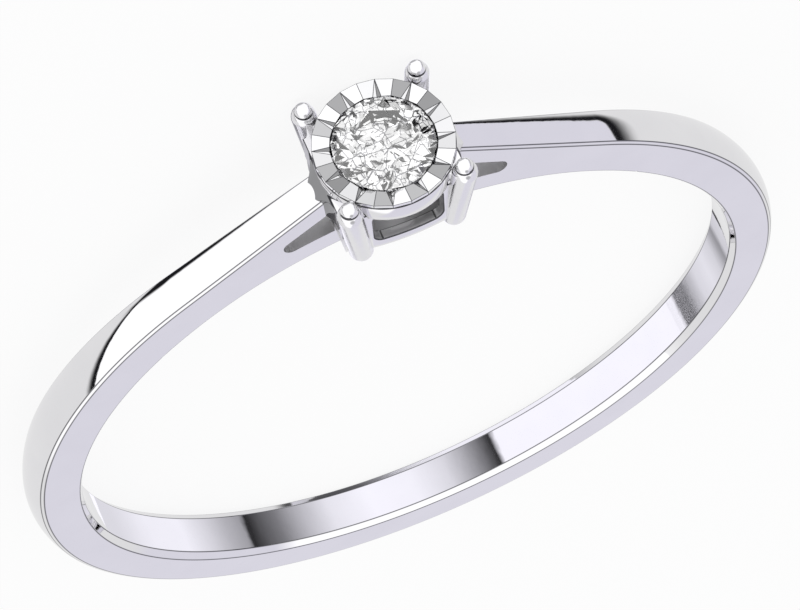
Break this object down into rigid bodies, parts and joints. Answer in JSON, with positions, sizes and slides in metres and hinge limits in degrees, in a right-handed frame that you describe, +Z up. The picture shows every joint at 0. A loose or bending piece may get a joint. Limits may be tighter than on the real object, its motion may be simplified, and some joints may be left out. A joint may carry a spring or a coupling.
{
  "type": "diamond solitaire ring",
  "caption": "Slim domed finger ring with split shoulders, a four-claw basket and a round cut stone set in a faceted plate.",
  "frame": {"origin": "centre of the bounding box at the surface that the ring lies on", "axes": "+Z up from the surface, +Y from the far side of the band towards the head, +X across the ring from shoulder to shoulder"},
  "size_m": [0.0196, 0.0214, 0.0031],
  "materials": {
    "white_gold": "polished",
    "bright_cut_gold": "bright cut",
    "cut_stone": "polished"
  },
  "bodies": {
    "root": {"ring_mount": "white_gold", "illusion_plate": "bright_cut_gold", "diamond": "cut_stone"}
  },
  "joints": []
}
